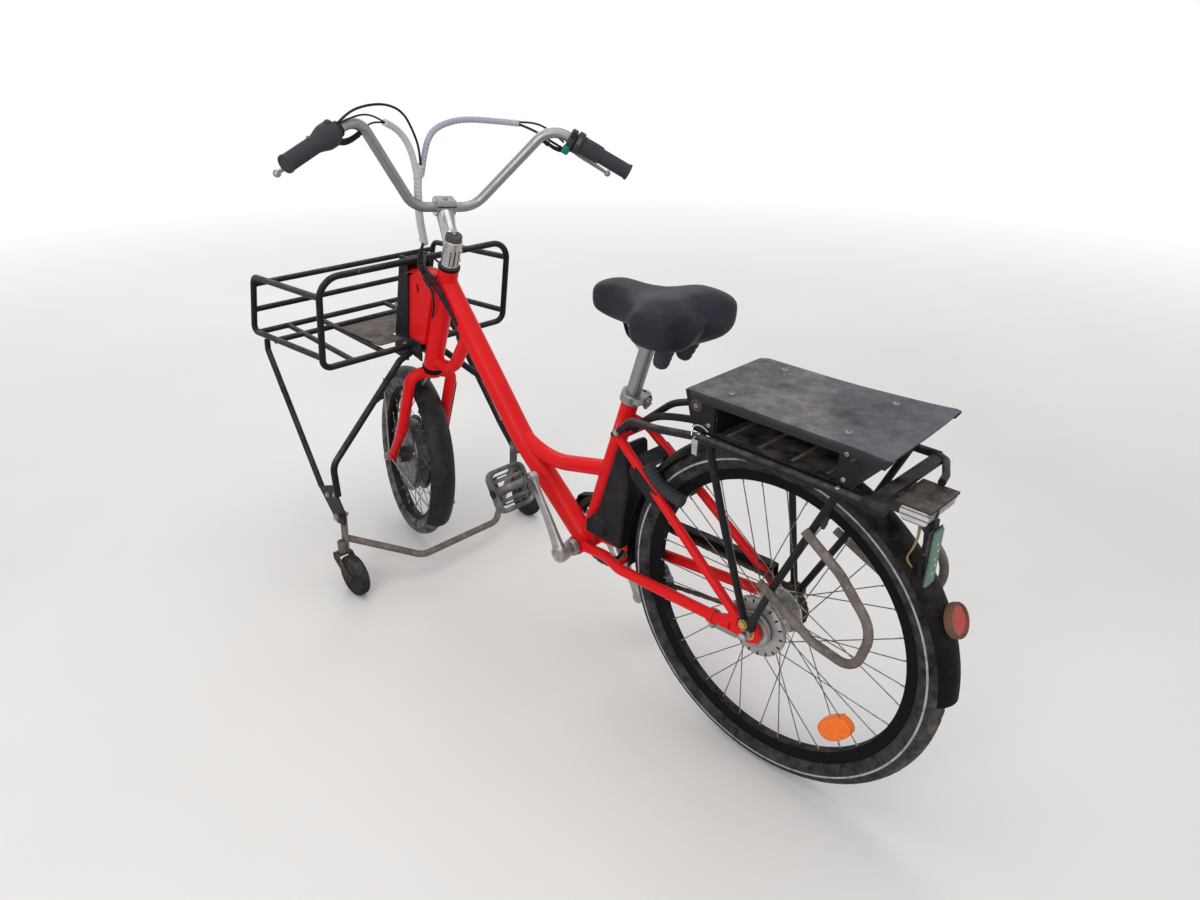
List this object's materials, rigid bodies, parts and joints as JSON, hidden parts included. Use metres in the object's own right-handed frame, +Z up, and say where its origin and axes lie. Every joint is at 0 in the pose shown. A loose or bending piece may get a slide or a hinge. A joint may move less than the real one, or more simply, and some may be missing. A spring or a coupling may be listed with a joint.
{
  "type": "electric bicycle",
  "caption": "Step-through electric delivery bicycle with an open front rack, wheeled folding front stand, rear rack with an empty battery bay and a front hub motor.",
  "frame": {"origin": "on the ground under the rear axle, where the rear tyre stands, in the middle plane of the frame", "axes": "+X forward along the bicycle, +Y to the rider's left, +Z up"},
  "size_m": [1.735, 0.7367, 1.1371],
  "materials": {
    "red_paint": "worn gloss paint",
    "black_paint": "worn satin paint",
    "black_plastic": "moulded, scuffed",
    "grey_metal": "dull zinc plating",
    "chrome": "polished, lightly pitted",
    "alloy": "satin cast alloy",
    "tyre_rubber": "dusty",
    "soft_rubber": "grips",
    "saddle_cover": "soft grained cover",
    "rust": "surface rust",
    "red_lens": "prismatic reflector",
    "board_green": "bare circuit board"
  },
  "bodies": {
    "bicycle_frame": {"main_frame": "red_paint", "rear_stays": "red_paint", "head_shield": "red_paint", "rack_channel": "black_paint", "front_rack": "black_paint", "front_rack_plate": "black_paint", "stand_struts": "black_paint", "stand_spring": "grey_metal", "seat_post": "grey_metal", "saddle_rails": "black_paint", "saddle": "saddle_cover", "controller_case": "black_plastic", "ring_lock": "black_plastic", "rear_mudguard": "black_paint", "round_reflector": "red_lens", "rack_deck": "black_paint", "battery_bay": "black_plastic", "rear_rack": "black_paint", "side_loops": "rust", "lamp_trough": "chrome", "lamp_cover": "black_plastic", "circuit_board": "board_green", "chain_guard": "black_paint", "chain": "rust", "rear_axle": "grey_metal", "brake_arm": "alloy", "frame_cables": "black_plastic"},
    "steering": {"fork": "red_paint", "front_axle": "grey_metal", "front_mudguard": "black_plastic", "mudguard_stays": "grey_metal", "stem": "chrome", "handlebar": "alloy", "grips": "soft_rubber", "bar_controls": "black_plastic", "brake_levers": "alloy", "bar_cables": "black_plastic", "motor_lead": "black_plastic"},
    "front_wheel": {"front_tyre": "tyre_rubber", "front_rim": "black_paint", "motor_hub": "alloy"},
    "rear_wheel": {"rear_tyre": "tyre_rubber", "rear_rim": "black_paint", "rear_hub": "alloy"},
    "cranks": {"crankset": "alloy"},
    "left_pedal": {"pedal_left": "black_plastic"},
    "right_pedal": {"pedal_right": "black_plastic"},
    "front_stand": {"folding_stand": "rust"},
    "left_castor": {"castor_fork_left": "grey_metal"},
    "right_castor": {"castor_fork_right": "grey_metal"},
    "left_castor_wheel": {"castor_wheel_left": "black_plastic"},
    "right_castor_wheel": {"castor_wheel_right": "black_plastic"}
  },
  "joints": [
    {"name": "steering_turn", "type": "hinge", "parent": "bicycle_frame", "child": "steering", "pos_m": [1.009, 0, 0.529], "axis": [-0.3486, 0, 0.9373], "range_deg": [-29.5, 60.5]},
    {"name": "front_wheel_spin", "type": "hinge", "parent": "steering", "child": "front_wheel", "pos_m": [1.14953, -0.00855, 0.23959], "axis": [0.2505, 0.9636, 0.0932], "continuous": true},
    {"name": "rear_wheel_spin", "type": "hinge", "parent": "bicycle_frame", "child": "rear_wheel", "pos_m": [0, 0, 0.326], "axis": [0, 1, 0], "continuous": true},
    {"name": "crank_spin", "type": "hinge", "parent": "bicycle_frame", "child": "cranks", "pos_m": [0.474, 0, 0.274], "axis": [0, 1, 0], "continuous": true},
    {"name": "left_pedal_spin", "type": "hinge", "parent": "cranks", "child": "left_pedal", "pos_m": [0.559, 0.137, 0.42122], "axis": [0, 1, 0], "continuous": true},
    {"name": "right_pedal_spin", "type": "hinge", "parent": "cranks", "child": "right_pedal", "pos_m": [0.389, -0.137, 0.12678], "axis": [0, 1, 0], "continuous": true},
    {"name": "stand_fold", "type": "hinge", "parent": "bicycle_frame", "child": "front_stand", "pos_m": [1.045, 0, 0.205], "axis": [0, 1, 0], "range_deg": [0, 85]},
    {"name": "left_castor_swivel", "type": "hinge", "parent": "front_stand", "child": "left_castor", "pos_m": [1.056, 0.276, 0.115], "axis": [0, 0, 1], "continuous": true},
    {"name": "right_castor_swivel", "type": "hinge", "parent": "front_stand", "child": "right_castor", "pos_m": [1.056, -0.276, 0.115], "axis": [0, 0, 1], "continuous": true},
    {"name": "left_castor_roll", "type": "hinge", "parent": "left_castor", "child": "left_castor_wheel", "pos_m": [1.01, 0.276, 0.052], "axis": [0, 1, 0], "continuous": true},
    {"name": "right_castor_roll", "type": "hinge", "parent": "right_castor", "child": "right_castor_wheel", "pos_m": [1.01, -0.276, 0.052], "axis": [0, 1, 0], "continuous": true}
  ]
}
